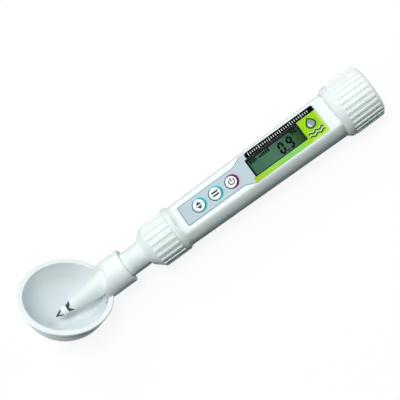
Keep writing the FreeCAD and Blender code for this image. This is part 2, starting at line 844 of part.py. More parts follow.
save("cap_spring", make_cap_spring())
save("collar_nut", make_collar_nut())
save("probe_stem", make_probe_stem())
save("probe_seal", seal_ring(x_probe_flange_back + probe_seal_gap, spigot_radius))
save("electrode_ring", make_electrode_ring())
save("electrode_spacer", make_electrode_spacer())
save("electrode_tip", make_electrode_tip())
save("thermistor", make_thermistor())
save("probe_leads", make_probe_leads())
save("probe_plug", make_probe_plug())
save("plug_pins", make_plug_pins())
save("probe_socket", make_probe_socket())
save("spoon", make_spoon())
save("spoon_grip_ring", make_spoon_grip_ring())
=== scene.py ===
# %% [markdown]
# A food salinity meter lies face up on a pale floor. The packed model gives every rigid piece at its real
# size, so this script adds what the model leaves plain: the finish of each surface, the printed face, the
# display's digits and the marks on the keys. All sizes are in metres, and MM turns millimetres into metres.

# %% Load the packed model
import math

import bmesh
import bpy
from mathutils import Matrix, Vector


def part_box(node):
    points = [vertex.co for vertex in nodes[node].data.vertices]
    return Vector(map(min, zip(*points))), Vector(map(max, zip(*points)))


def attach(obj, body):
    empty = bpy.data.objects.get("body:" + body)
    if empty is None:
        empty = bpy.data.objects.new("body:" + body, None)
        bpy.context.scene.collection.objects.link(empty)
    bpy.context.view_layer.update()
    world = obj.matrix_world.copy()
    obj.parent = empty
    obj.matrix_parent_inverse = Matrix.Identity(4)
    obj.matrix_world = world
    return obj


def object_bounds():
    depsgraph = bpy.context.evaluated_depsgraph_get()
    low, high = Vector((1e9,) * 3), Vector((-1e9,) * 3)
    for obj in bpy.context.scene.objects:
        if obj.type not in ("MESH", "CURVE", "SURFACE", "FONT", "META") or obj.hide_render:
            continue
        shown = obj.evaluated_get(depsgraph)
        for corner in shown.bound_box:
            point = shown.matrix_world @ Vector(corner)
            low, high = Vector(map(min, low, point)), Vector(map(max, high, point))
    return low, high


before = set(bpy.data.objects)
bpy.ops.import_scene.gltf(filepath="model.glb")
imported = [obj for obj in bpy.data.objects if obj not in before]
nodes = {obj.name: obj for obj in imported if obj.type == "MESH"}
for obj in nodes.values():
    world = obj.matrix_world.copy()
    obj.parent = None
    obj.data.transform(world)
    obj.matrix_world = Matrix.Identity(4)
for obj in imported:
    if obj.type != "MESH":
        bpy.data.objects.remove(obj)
cad_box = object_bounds()
MM = 0.001


def in_mm(values):
    """Lengths in millimetres, for the prints."""
    return [round(value / MM, 2) for value in values]


def add_object(name, data):
    """A new object, linked into the scene."""
    thing = bpy.data.objects.new(name, data)
    bpy.context.scene.collection.objects.link(thing)
    return thing


# %% [markdown]
# A shader is easier to read as sums than as wires. Socket wraps one output of a node tree: each operator adds
# a Math node, and step and mix_colour add the two other nodes that are used most. All others come from
# add_node, which takes a node's settings before its sockets.


# %% Shader arithmetic
class Socket:
    """One output in a node tree, with Python's operators as Math nodes."""

    def __init__(self, tree, output):
        self.tree = tree
        self.output = output

    def math(self, operation, *others):
        return add_node(self.tree, "ShaderNodeMath", {"operation": operation}, (self,) + others)

    def __add__(self, other):
        return self.math("ADD", other)

    __radd__ = __add__

    def __mul__(self, other):
        return self.math("MULTIPLY", other)

    __rmul__ = __mul__

    def __sub__(self, other):
        return self.math("SUBTRACT", other)

    def __rsub__(self, other):
        return add_node(self.tree, "ShaderNodeMath", {"operation": "SUBTRACT"}, (other, self))

    def step(self, low, high):
        """0 below low, 1 above high, smooth between."""
        settings = {"interpolation_type": "SMOOTHSTEP"}
        return add_node(self.tree, "ShaderNodeMapRange", settings, (self, low, high))


def fill_ramp(band, stops):
    """Set a colour ramp to its stops (place, colour)."""
    for i, (place, colour) in enumerate(stops):
        element = band.elements[i] if i < 2 else band.elements.new(place)
        element.position = place
        element.color = (*colour, 1.0)


def add_node(tree, kind, settings, inputs=(), output=0):
    """A node with its settings made first, then its sockets, given by place or by name."""
    node = tree.nodes.new(kind)
    for name, value in settings.items():
        if name == "stops":
            fill_ramp(node.color_ramp, value)
        else:
            setattr(node, name, value)
    pairs = inputs.items() if isinstance(inputs, dict) else enumerate(inputs)
    for key, value in pairs:
        if isinstance(value, Socket):
            tree.links.new(value.output, node.inputs[key])
        else:
            node.inputs[key].default_value = value
    return Socket(tree, node.outputs[output]) if node.outputs else None


def mix_colour(factor, first, second):
    """A colour between first and second, each a triple or a socket."""
    sides = [side if isinstance(side, Socket) else (*side, 1.0) for side in (first, second)]
    settings = {"data_type": "RGBA", "clamp_factor": True}
    return add_node(factor.tree, "ShaderNodeMix", settings, {0: factor, 6: sides[0], 7: sides[1]}, 2)


def colour_ramp(factor, stops):
    """A colour that runs through the stops."""
    return add_node(factor.tree, "ShaderNodeValToRGB", {"stops": stops}, (factor,))


def length_of(*parts):
    """Length of the vector with these parts."""
    return sum(part * part for part in parts).math("SQRT")


print("reflected operators:", [name for name in vars(Socket) if name.startswith("__r")])

# %% [markdown]
# A pattern needs a place to read. Generated coordinates would stretch it over each piece's own box, so the
# patterns read Object coordinates: real metres, which keep a grain's size and ride with a piece on its joint.


# %% Places, grain and bump
def new_material(name):
    """A node material with one Principled shader, and the tree that it lives in."""
    material = bpy.data.materials.new(name)
    material.use_nodes = True
    return material, material.node_tree, material.node_tree.nodes["Principled BSDF"]


def wire(tree, socket, shader, name):
    tree.links.new(socket.output, shader.inputs[name])


def object_place(tree):
    return add_node(tree, "ShaderNodeTexCoord", {}, (), "Object")


def noise(tree, scale, detail):
    """Soft grain in the piece's own space, scale cells to the metre."""
    inputs = {"Vector": object_place(tree), "Scale": scale, "Detail": detail}
    return add_node(tree, "ShaderNodeTexNoise", {}, inputs, "Fac")


def axis_parts(tree):
    """The x, y and z of a point in the piece's own space."""
    split = add_node(tree, "ShaderNodeSeparateXYZ", {}, (object_place(tree),)).output.node
    return [Socket(tree, output) for output in split.outputs]


def bump(tree, height, strength, distance, **under):
    """A fine relief, on the piece's own normal or on one that is given."""
    inputs = {"Height": height, "Strength": strength, "Distance": distance, **under}
    return add_node(tree, "ShaderNodeBump", {}, inputs)


def mottled(cloud, colour, drift, low, high):
    """A colour that darkens by a share of drift where the noise is low."""
    shade = tuple(value * (1 - drift) for value in colour)
    return mix_colour(cloud.step(low, high), shade, colour)


def set_gloss(shader, roughness, specular):
    shader.inputs["Roughness"].default_value = roughness
    shader.inputs["Specular IOR Level"].default_value = specular


print("model's box", in_mm(high - low for low, high in zip(*cad_box)))

# %% [markdown]
# The photo is taken from above the face, a little to one side of it and almost square to the handle. The
# camera is set from those angles: the tilt of the handle towards the lens, the turn about the handle's axis
# and the slope of the handle across the picture.

# %% Camera
LENS = 90.0
HANDLE_ROLL = 0.0133
HANDLE_TILT = math.radians(-3.1)
FACE_TURN = math.radians(21.0)
SLOPE_RISE, SLOPE_RUN = 0.5779, 0.8161
PICTURE_TURN = math.atan2(SLOPE_RISE, SLOPE_RUN)
AIM_X = -97.85 * MM
AIM_SIDE = 17.1 * MM
AIM_DROP = 5.301 * MM
AIM_FAR = 570.0 * MM

along = Vector((
    math.cos(HANDLE_TILT) * math.cos(HANDLE_ROLL), -math.cos(HANDLE_TILT) * math.sin(HANDLE_ROLL),
    math.sin(HANDLE_TILT)))
towards = Vector((0, 0, -1))
towards = (towards - along * towards.dot(along)).normalized()
upward = towards.cross(along)
face = towards * math.cos(FACE_TURN) + upward * math.sin(FACE_TURN)
side = face.cross(along)
across, down, forward = [Vector((along[i], side[i], face[i])) for i in range(3)]
right = across * math.cos(PICTURE_TURN) + down * math.sin(PICTURE_TURN)
low = down * math.cos(PICTURE_TURN) - across * math.sin(PICTURE_TURN)

camera_data = bpy.data.cameras.new("camera")
camera_data.lens = LENS
camera_data.clip_start = 10 * MM
camera = add_object("camera", camera_data)
eye = Vector((AIM_X, 0, 0)) - across * AIM_SIDE - down * AIM_DROP - forward * AIM_FAR
turn = Matrix((right, -low, -forward)).transposed()
camera.matrix_world = Matrix.Translation(eye) @ turn.to_4x4()
bpy.context.scene.camera = camera
print("camera stands at", in_mm(eye))

# %% [markdown]
# The background of the photo is pure white. A floor lit to white would need more light than the meter can
# take, so the floor shows the camera a white glow with a little of its own shading, which keeps the shadow,
# and gives other rays a dim bounce. The world does the same: white where it is seen, and else a dim fill.

# %% Floor and world
FLOOR_SIZE = 3.0
FILL_COLOUR = (0.016, 0.044, 0.050)
FLOOR_BOUNCE = (0.006, 0.018, 0.020)
FLOOR_SEEN = (0.9, 0.9, 0.9)
GLOW_SHARE = 0.9


def seen_directly(tree):
    """1 for rays from the camera, and for those that mirrors and clear pieces send on."""
    names = ("Is Camera Ray", "Is Glossy Ray", "Is Transmission Ray")
    seen, glossy, clear = [add_node(tree, "ShaderNodeLightPath", {}, (), name) for name in names]
    return seen.math("MAXIMUM", glossy).math("MAXIMUM", clear)


def floor_finish():
    """Matt shading with a white glow over it, as the camera sees it."""
    material, tree, shader = new_material("pale_floor")
    tree.nodes.clear()
    direct = seen_directly(tree)
    colour = mix_colour(direct, FLOOR_BOUNCE, FLOOR_SEEN)
    matt = add_node(tree, "ShaderNodeBsdfDiffuse", {}, {"Color": colour})
    glow = add_node(tree, "ShaderNodeEmission", {}, {"Color": (1, 1, 1, 1), "Strength": 1.0})
    both = add_node(tree, "ShaderNodeMixShader", {}, (direct * GLOW_SHARE, matt, glow))
    add_node(tree, "ShaderNodeOutputMaterial", {}, {"Surface": both})
    return material


floor_height = cad_box[0][2]
floor_mesh = bpy.data.meshes.new("floor")
half = FLOOR_SIZE / 2
corners = [(-half, -half), (half, -half), (half, half), (-half, half)]
floor_mesh.from_pydata([(x + AIM_X, y, floor_height) for x, y in corners], [], [(0, 1, 2, 3)])
floor_mesh.materials.append(floor_finish())
floor = add_object("floor", floor_mesh)

world = bpy.data.worlds.new("studio")
world.use_nodes = True
bpy.context.scene.world = world
sky = world.node_tree
background = sky.nodes["Background"]
sky.links.new(mix_colour(seen_directly(sky), FILL_COLOUR, (1, 1, 1)).output, background.inputs["Color"])
print("floor at", in_mm([floor_height]))

# %% [markdown]
# The meter in the photo is lit from the upper left, so that each round form turns dark at its lower right. A
# key lamp stands near the camera, a wide side lamp lifts the upper edges, and a faintly cool lamp at each end
# lights the cap's end and the cone of the collar. Each lamp is given as distance, size, power, angle off the
# camera's axis and clock angle about it, which keeps the light on its side of the picture.

# %% Lamps
LAMPS = {
    "key": (1.3, 0.50, 11.3, 22.0, -12.0),
    "side": (1.5, 1.10, 7.2, 64.0, -12.0),
    "cap_end": (1.4, 0.80, 6.6, 70.0, 84.0),
    "spoon_end": (1.4, 0.80, 6.6, 74.0, -84.0),
}
END_TINT = (0.92, 0.99, 1.0)

for name, (distance, size, power, *turns) in LAMPS.items():
    lamp_data = bpy.data.lights.new(name, "AREA")
    lamp_data.shape = "DISK"
    lamp_data.size = size
    lamp_data.energy = power
    if name.endswith("_end"):
        lamp_data.color = END_TINT
    lamp = add_object(name, lamp_data)
    off_camera, clock = (math.radians(turn) for turn in turns)
    lamp_side = -down * math.cos(clock) + across * math.sin(clock)
    to_lamp = -forward * math.cos(off_camera) + lamp_side * math.sin(off_camera)
    lamp.location = Vector((AIM_X, 0, 0)) + to_lamp * distance
    lamp.rotation_euler = to_lamp.to_track_quat("Z", "Y").to_euler()

bpy.context.scene.view_settings.view_transform = "Standard"
print("lamps", list(LAMPS))

# %% [markdown]
# The shell, the caps and the spoon are moulded in one glossy white plastic. Up close such a moulding is not
# one flat white: its colour drifts a little over centimetres, and its skin has a fine orange peel. The gloss
# is kept low, because a strong mirror would put a white rim where the photo has a dark one. The casing's flat
# meets its round side at a sharp edge, and a Bevel node rounds that in the shading, with the mesh left alone.

# %% Moulded plastics
WHITE = (0.875, 0.925, 0.908)
CASING_EDGE = 3.6 * MM
CLOUD_SCALE = 38.0
PEEL_SCALE = 900.0
PEEL_DEPTH = 0.02 * MM


def moulding(name, colour, roughness=0.34, drift=0.03, specular=0.03, paint=None, soft_edge=0.0):
    """A moulded plastic. paint(tree, base) may lay more colour over it, and soft_edge rounds sharp edges."""
    material, tree, shader = new_material(name)
    cloud = noise(tree, CLOUD_SCALE, 3.0)
    base = mottled(cloud, colour, drift, 0.35, 0.65)
    if paint:
        base = paint(tree, base)
    wire(tree, base, shader, "Base Color")
    under = {}
    if soft_edge:
        under["Normal"] = add_node(tree, "ShaderNodeBevel", {"samples": 8}, {"Radius": soft_edge})
    peel = noise(tree, PEEL_SCALE, 1.0)
    wire(tree, bump(tree, peel, 0.25, PEEL_DEPTH, **under), shader, "Normal")
    wire(tree, roughness + (cloud - 0.5) * 0.08, shader, "Roughness")
    shader.inputs["Specular IOR Level"].default_value = specular
    return material


shell_white = moulding("shell_white", WHITE, soft_edge=CASING_EDGE)
probe_white = moulding("probe_white", (0.88, 0.935, 0.93), roughness=0.3)
inner_white = moulding("inner_white", (0.80, 0.80, 0.78), roughness=0.5)
holder_grey = moulding("holder_grey", (0.10, 0.10, 0.11), roughness=0.5)
frame_black = moulding("frame_black", (0.012, 0.016, 0.017), roughness=0.45)
board_green = moulding("board_green", (0.02, 0.17, 0.07), roughness=0.4, drift=0.2)
seal_black = moulding("seal_black", (0.02, 0.02, 0.02), roughness=0.6)
strip_rubber = moulding("strip_rubber", (0.42, 0.30, 0.32), roughness=0.65)
ring_silicone = moulding("ring_silicone", (0.55, 0.58, 0.60), roughness=0.55)
print("materials so far:", len(bpy.data.materials))

# %% [markdown]
# The cap and the collar are ribbed, and a painted shade greys the grooves between the ribs. A mask on the
# distance from the handle's axis finds the grooves, wherever the ribs stand.

# %% Ribbed cap and collar
# The grey between the ribs is painted shade: faint on the cap, stronger on the collar.
GROOVE_SHADE = (0.66, 0.74, 0.735)
RIB_HEIGHT = 0.5 * MM
CAP_GROOVE_SHADE = 0.08
COLLAR_GROOVE_SHADE = 0.3


def radius_of(node_name):
    """Largest distance of a node's points from the handle's axis."""
    return max(math.hypot(vertex.co.y, vertex.co.z) for vertex in nodes[node_name].data.vertices)


def groove_shade(valley, crest, strength):
    """Painted shade in the valleys between ribs that stand round the handle's axis."""
    def paint(tree, base):
        x, y, z = axis_parts(tree)
        return mix_colour((1 - length_of(y, z).step(valley, crest)) * strength, base, GROOVE_SHADE)
    return paint


cap_crest = radius_of("battery_cap")
collar_crest = radius_of("collar_nut")
cap_rib_shade = groove_shade(cap_crest - 1.6 * RIB_HEIGHT, cap_crest - 0.5 * RIB_HEIGHT, CAP_GROOVE_SHADE)
collar_rib_shade = groove_shade(collar_crest - RIB_HEIGHT, collar_crest, COLLAR_GROOVE_SHADE)
cap_white = moulding("cap_white", WHITE, paint=cap_rib_shade)
collar_white = moulding("collar_white", WHITE, paint=collar_rib_shade)
print("rib crests at", in_mm((cap_crest, collar_crest)))

# %% [markdown]
# Contacts and cells are plated metal, and what is printed on the face is ink under a clear film. One flat
# colour would do from afar, but metal has streaks and dull stains, and screen printing is never quite even.

# %% Metals and inks
STAIN_SCALE = 260.0
STREAK_SCALE = 2200.0
STREAK_DEPTH = 0.01 * MM
INK_SCALE = 420.0
INK_GLOSS = 0.06


def streaked(tree, shader, roughness):
    """The fine streaks of a turned or drawn metal, in its roughness and its skin."""
    streak = noise(tree, STREAK_SCALE, 2.0)
    wire(tree, roughness + streak * 0.15, shader, "Roughness")
    wire(tree, bump(tree, streak, 0.15, STREAK_DEPTH), shader, "Normal")


def metal(name, colour, roughness=0.28):
    """A turned or stamped metal, with faint streaks and a duller stain here and there."""
    material, tree, shader = new_material(name)
    stain = noise(tree, STAIN_SCALE, 3.0)
    wire(tree, mottled(stain, colour, 0.25, 0.4, 0.7), shader, "Base Color")
    streaked(tree, shader, roughness)
    shader.inputs["Metallic"].default_value = 1.0
    return material


def printed(name, colour, roughness=0.35, gloss=INK_GLOSS):
    """Ink under a clear film: even, with the slight unevenness of screen printing."""
    material, tree, shader = new_material(name)
    cloud = noise(tree, INK_SCALE, 2.0)
    wire(tree, mottled(cloud, colour, 0.05, 0.3, 0.7), shader, "Base Color")
    set_gloss(shader, roughness, gloss)
    return material


steel = metal("plated_steel", (0.60, 0.60, 0.62))
cell_can = metal("cell_can", (0.70, 0.70, 0.71), roughness=0.22)
brass = metal("contact_brass", (0.72, 0.52, 0.22))
print("metals", steel.name, brass.name)

# %% [markdown]
# Each electrode is a dark cone of satin metal with three white wedges of painted highlight on it, which leave
# a chevron of metal between them. The wedges are a mask: the further back a point lies, the wider the wedge
# is there.

# %% Electrodes
WEDGE_TURN = math.radians(28.0)
WEDGE_START = 0.38
WEDGE_GROWTH = 0.95
WEDGE_EDGE = 0.04
WEDGE_HIGHLIGHT = (0.80, 0.86, 0.87)
ELECTRODE_DARK = (0.085, 0.100, 0.105)
ELECTRODE_LIGHT = (0.15, 0.17, 0.17)
RING_LENGTH = 3.2 * MM
TIP_LENGTH = 4.7 * MM


def electrode_finish(name, node_name, length):
    """Dark satin metal with three white wedges of painted highlight that run in from its back end."""
    material, tree, shader = new_material(name)
    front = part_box(node_name)[0].x
    x, y, z = axis_parts(tree)
    turn = y.math("ARCTAN2", z) + WEDGE_TURN
    third = 2 * math.pi / 3
    spread = turn.math("WRAP", third / 2, -third / 2).math("ABSOLUTE")
    share = (x - front) * (1 / length)
    highlight_wedge = ((share - WEDGE_START) * WEDGE_GROWTH - spread).step(-WEDGE_EDGE, WEDGE_EDGE)
    stain = noise(tree, STAIN_SCALE, 3.0)
    dark = mix_colour(stain.step(0.4, 0.7), ELECTRODE_DARK, ELECTRODE_LIGHT)
    # The wedges are a painted highlight, white and not metallic.
    wire(tree, mix_colour(highlight_wedge, dark, WEDGE_HIGHLIGHT), shader, "Base Color")
    wire(tree, 1 - highlight_wedge, shader, "Metallic")
    streaked(tree, shader, 0.3)
    shader.inputs["Specular IOR Level"].default_value = 0.1
    return material


ring_metal = electrode_finish("electrode_ring_metal", "electrode_ring", RING_LENGTH)
tip_metal = electrode_finish("electrode_tip_metal", "electrode_tip", TIP_LENGTH)
print("electrodes", in_mm((RING_LENGTH, TIP_LENGTH)))

# %% [markdown]
# The spoon is one moulding in one white. Painted shade greys the bowl towards its bottom, a lilac painted
# shadow lies beside the probe, and the rim stays nearly white, with a little of the same grey. Distances from
# the bowl's middle and the handle's axis tell these regions apart, each as a pair of values between which a
# mask rises.

# %% Spoon
SPOON_COLOUR = (0.90, 0.935, 0.93)
# The bowl's grey is painted shade, and its lilac is a painted shadow of the probe.
BOWL_SHADE_GREY = (0.715, 0.770, 0.785)
PROBE_SHADOW_LILAC = (0.775, 0.785, 0.815)
BOWL_MIDDLE = Vector((-207.69, 2.97, 11.32)) * MM
BOWL_AXIS = Vector((0.528, 0.2155, 0.821))
BOWL_RADIUS = 24.41 * MM
SLEEVE_RADIUS = 10.55 * MM
SLEEVE_END = -196.0 * MM
BOWL_WALL = (BOWL_RADIUS + 0.1 * MM, BOWL_RADIUS + 0.6 * MM)
SLEEVE_WALL = (SLEEVE_RADIUS, SLEEVE_RADIUS + 0.3 * MM)
SLEEVE_RUN = (SLEEVE_END, SLEEVE_END + 4 * MM)
DEPTH_SHADE = (-11 * MM, -0.5 * MM)
PROBE_SHADOW_SIDE = (-12 * MM, 6 * MM)
PROBE_SHADOW_RUN = (-220 * MM, -202 * MM)
RIM_LEVEL = (-4 * MM, -1 * MM)
RIM_REACH = (BOWL_RADIUS - 0.5 * MM, BOWL_RADIUS)
RIM_CLEAR = (SLEEVE_RADIUS, SLEEVE_RADIUS + 2 * MM)
RIM_GREYING = 0.15


def bowl_shade(tree, base):
    """Painted shade that greys the bowl towards its bottom, with a lilac painted shadow by the probe."""
    x, y, z = axis_parts(tree)
    dx, dy, dz = x - BOWL_MIDDLE.x, y - BOWL_MIDDLE.y, z - BOWL_MIDDLE.z
    reach = length_of(dx, dy, dz)
    inside = 1 - reach.step(*BOWL_WALL)
    off_axis = length_of(y, z)
    off_sleeve = 1 - (1 - off_axis.step(*SLEEVE_WALL)) * x.step(*SLEEVE_RUN)
    level = dx * BOWL_AXIS.x + dy * BOWL_AXIS.y + dz * BOWL_AXIS.z
    # Painted shade deepens towards the bottom of the bowl, and a lilac painted shadow lies beside the probe.
    deep_shade = (1 - level.step(*DEPTH_SHADE)) * inside * off_sleeve
    probe_shadow = (1 - y.step(*PROBE_SHADOW_SIDE)) * x.step(*PROBE_SHADOW_RUN)
    shaded_skin = mix_colour(probe_shadow * (noise(tree, 70.0, 1.0) + 0.3), BOWL_SHADE_GREY, PROBE_SHADOW_LILAC)
    on_rim = level.step(*RIM_LEVEL) * reach.step(*RIM_REACH) * off_sleeve * off_axis.step(*RIM_CLEAR)
    rim = mix_colour(on_rim * RIM_GREYING, base, BOWL_SHADE_GREY)
    return mix_colour(deep_shade, rim, shaded_skin)


spoon_white = moulding("spoon_white", SPOON_COLOUR, roughness=0.3, specular=0.1, paint=bowl_shade)
print("bowl's middle", in_mm(BOWL_MIDDLE))

# %% [markdown]
# The face label is a sheet of grey film with a faint lilac and mint shimmer and a tinted halo by each key. An
# image could hold all this, but noise and distances from the keys stay sharp at any zoom. The cut walls of
# its holes are painted dark as shade, so that they don't show as a bright line round the window.

# %% Film of the label
label_low, label_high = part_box("face_label")
lens_low, lens_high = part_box("lcd_window")
key_centre = {}
for number in (1, 2, 3):
    key_low, key_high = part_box("button_%d" % number)
    key_centre[number] = (key_low.x + key_high.x) / 2

FILM_GREYS = [
    (0.30, (0.485, 0.595, 0.650)), (0.50, (0.500, 0.600, 0.635)), (0.60, (0.485, 0.605, 0.625)),
    (0.75, (0.535, 0.585, 0.660))]
CUT_EDGE_SHADE = (0.010, 0.014, 0.015)
CUT_DEPTH = (label_high.z - 0.05 * MM, label_high.z - 0.01 * MM)
WINDOW_SIDE = (label_high.y - 2.0 * MM, label_high.y - 1.0 * MM)
WINDOW_START = (lens_low.x, lens_low.x + 0.5 * MM)
WINDOW_END = (lens_high.x, lens_high.x + 1.0 * MM)
KEY_HOLE = (3.95 * MM, 4.1 * MM)
HALOS = {1: (0.60, 0.48, 0.62), 2: (0.32, 0.68, 0.74), 3: (0.34, 0.66, 0.72)}
HALO_REACH = (4.0 * MM, 6.6 * MM)
HALO_SIDE = (-3.5 * MM, 2.0 * MM)
LABEL_ROUGHNESS = 0.38
FILM_GRAIN = 0.015 * MM


def film(name):
    """Grey film with a tinted halo by each key, and painted shade on the cut walls of its holes."""
    material, tree, shader = new_material(name)
    grey = colour_ramp(noise(tree, 55.0, 2.0), FILM_GREYS)
    x, y, z = axis_parts(tree)
    below = 1 - z.step(*CUT_DEPTH)
    inner = 1 - y.math("ABSOLUTE").step(*WINDOW_SIDE)
    inner = inner * x.step(*WINDOW_START) * (1 - x.step(*WINDOW_END))
    for number, halo in HALOS.items():
        dx = x - key_centre[number]
        near = length_of(dx, y)
        inner = inner.math("MAXIMUM", 1 - near.step(*KEY_HOLE))
        glow = (1 - near.step(*HALO_REACH)) * dx.step(*HALO_SIDE)
        grey = mix_colour(glow, grey, halo)
    # The cut walls of the holes are painted dark as shade.
    wire(tree, mix_colour(below * inner, grey, CUT_EDGE_SHADE), shader, "Base Color")
    wire(tree, bump(tree, noise(tree, 2600.0, 1.0), 0.2, FILM_GRAIN), shader, "Normal")
    set_gloss(shader, LABEL_ROUGHNESS, INK_GLOSS)
    return material


label_film = film("label_film")
print("keys at", in_mm(key_centre.values()))

# %% [markdown]
# The window is a clear lens, and under it a grey-green display fills a black frame. Real refraction takes far
# more samples, so a low alpha lets the display show through the lens instead. The display darkens towards its
# cap end, as the light reaches less of it there.

# %% Lens and display
glass_low, glass_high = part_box("lcd_glass")
LENS_DARK = (0.02, 0.03, 0.028)
LENS_LIGHT = (0.03, 0.04, 0.036)
DISPLAY_GREENS = [
    (0.0, (0.050, 0.165, 0.090)), (0.45, (0.075, 0.190, 0.115)), (0.72, (0.065, 0.145, 0.090)),
    (0.90, (0.025, 0.090, 0.022)), (1.0, (0.012, 0.050, 0.012))]


def clear_lens(name):
    """Plastic that hides only a few hundredths of what lies under it."""
    material, tree, shader = new_material(name)
    cloud = noise(tree, 90.0, 2.0)
    wire(tree, mix_colour(cloud.step(0.3, 0.7), LENS_DARK, LENS_LIGHT), shader, "Base Color")
    wire(tree, 0.32 + cloud * 0.04, shader, "Roughness")
    wire(tree, 0.04 + cloud * 0.02, shader, "Alpha")
    shader.inputs["Specular IOR Level"].default_value = 0.04
    return material


def along_x(tree, start, end):
    """0 at start and 1 at end, to drive a colour ramp along a piece."""
    x, y, z = axis_parts(tree)
    return (x - start) * (1 / (end - start))


def display(name):
    """Grey-green, lighter in the middle of its length and dark at the cap end."""
    material, tree, shader = new_material(name)
    share = along_x(tree, glass_low.x, glass_high.x) + (noise(tree, 60.0, 1.0) - 0.5) * 0.12
    wire(tree, colour_ramp(share, DISPLAY_GREENS), shader, "Base Color")
    set_gloss(shader, 0.4, INK_GLOSS)
    return material


lens_clear = clear_lens("lens_clear")
display_green = display("display_green")
print("display", in_mm(glass_high - glass_low))

# %% [markdown]
# Every packed node takes its finish here by name, from one list, so that none is forgotten. The three keys
# come later, because their crescents are part of their own plastic.


# %% Dress the packed nodes
def dress(node_name, material):
    """Give a packed node one material."""
    mesh = nodes[node_name].data
    mesh.materials.clear()
    mesh.materials.append(material)


FINISHES = [
    (shell_white, "body_casing"), (cap_white, "battery_cap"), (collar_white, "collar_nut"),
    (spoon_white, "spoon"), (probe_white, "probe_stem electrode_spacer"), (ring_metal, "electrode_ring"),
    (tip_metal, "electrode_tip"), (label_film, "face_label"), (lens_clear, "lcd_window"),
    (display_green, "lcd_glass"), (inner_white, "lcd_backing probe_plug"), (board_green, "main_board"),
    (frame_black, "lcd_frame controller_chip key_switch_1 key_switch_2 key_switch_3"),
    (frame_black, "key_plunger_1 key_plunger_2 key_plunger_3"), (holder_grey, "battery_holder probe_socket"),
    (steel, "board_screws clock_crystal cap_spring"), (cell_can, "cell_1 cell_2 cell_3 cell_4"),
    (brass, "inner_contact ring_contact return_strip cap_contact probe_leads plug_pins"),
    (seal_black, "cap_seal probe_seal thermistor"), (strip_rubber, "zebra_strips"),
    (ring_silicone, "spoon_grip_ring"),
]
for material, names in FINISHES:
    for node_name in names.split():
        dress(node_name, material)
print("nodes dressed:", sum(len(names.split()) for material, names in FINISHES), "of", len(nodes))

# %% [markdown]
# Everything printed on the face is a layer of ink a few hundredths of a millimetre thick. A mask in the
# film's material could show it, but thin plates also show in the exported meshes. One function makes plates
# from outlines, and another lays them on the label in levels, so that no two share a surface.

# %% Thin printed plates
INK = 0.02 * MM
label_top = label_high.z


def show(name, mesh, material, body):
    """Link a finished mesh as a piece that rides on a body."""
    mesh.materials.clear()
    mesh.materials.append(material)
    piece = add_object(name, mesh)
    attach(piece, body)


def plate_mesh(name, faces_2d, z_low, z_high, surface=None):
    """Closed plates over polygons (x, y). surface(x, y) lifts each point, where the ground is not flat."""
    build = bmesh.new()
    for polygon in faces_2d:
        area = sum(a[0] * b[1] - b[0] * a[1] for a, b in zip(polygon, polygon[1:] + polygon[:1]))
        if area < 0:
            polygon = polygon[::-1]
        points = [(x, y, surface(x, y) if surface else 0.0) for x, y in polygon]
        lower, upper = [[build.verts.new((x, y, z + up)) for x, y, up in points] for z in (z_low, z_high)]
        build.faces.new(upper)
        build.faces.new(lower[::-1])
        for i in range(len(points)):
            build.faces.new((lower[i - 1], lower[i], upper[i], upper[i - 1]))
    mesh = bpy.data.meshes.new(name)
    build.to_mesh(mesh)
    build.free()
    return mesh


def printed_plate(name, polygons, material, level=1, body="meter_body", surface=None):
    """Ink on the label, or on a surface given by a function. A higher level lies over a lower one."""
    ground = 0.0 if surface else label_top
    mesh = plate_mesh(name, polygons, ground + (level - 1) * INK, ground + level * INK, surface)
    show(name, mesh, material, body)


print("label's top", in_mm([label_top]))

# %% [markdown]
# Few outlines are needed: a box with chosen corners rounded, an arc, and strips between two outlines, which
# stay four-sided and so close up without a gap.

# %% Outlines
CORNER_STEPS = 6


def rounded_box(x0, x1, y0, y1, radii=(0, 0, 0, 0)):
    """A box's outline, counter-clockwise from its low corner, each corner with its own radius."""
    points = []
    corners = [(x0, y0, 180), (x1, y0, 270), (x1, y1, 0), (x0, y1, 90)]
    for (x, y, start), radius in zip(corners, radii):
        if radius == 0:
            points.append((x, y))
            continue
        cx = x + radius if x == x0 else x - radius
        cy = y + radius if y == y0 else y - radius
        for i in range(CORNER_STEPS + 1):
            angle = math.radians(start + 90.0 * i / CORNER_STEPS)
            points.append((cx + radius * math.cos(angle), cy + radius * math.sin(angle)))
    return points


def ring_strips(outer, inner):
    """Four-sided polygons between two outlines with as many points."""
    count = len(outer)
    return [[outer[i], outer[(i + 1) % count], inner[(i + 1) % count], inner[i]] for i in range(count)]


def arc(cx, cy, radius, start, end, steps):
    """Points on an arc, angles in degrees."""
    turns = [math.radians(start + (end - start) * i / steps) for i in range(steps + 1)]
    return [(cx + radius * math.cos(turn), cy + radius * math.sin(turn)) for turn in turns]


print("steps in a corner", CORNER_STEPS)

# %% [markdown]
# A thin grey line runs along the label's edge round the keys. It follows the label's own outline, which is
# narrow there and wide round the display. A strip between two outlines is equally wide round every corner.

# %% Edge line of the label
LINE_WIDTH = 0.34 * MM
LINE_INSET = 0.02 * MM
NARROW_HALF = 6.55 * MM
SHOULDER_LENGTH = 6.7 * MM
NARROW_LENGTH = 38.8 * MM
CORNER = 1.0 * MM


def label_outline(inset):
    """The label's outline taken in by inset: narrow round the keys, wide behind its shoulders."""
    x0, x1 = label_low.x + inset, label_high.x - inset
    wide, narrow = label_high.y - inset, NARROW_HALF - inset
    x_shoulder = label_low.x + NARROW_LENGTH
    front = arc(x0 + CORNER, narrow - CORNER, CORNER, 90, 180, 5)
    back = arc(x1 - CORNER, wide - CORNER, CORNER, 90, 0, 5)
    upper = back[::-1] + [(x_shoulder + SHOULDER_LENGTH, wide), (x_shoulder, narrow)] + front
    lower = [(x, -y) for x, y in reversed(upper)]
    return upper + lower


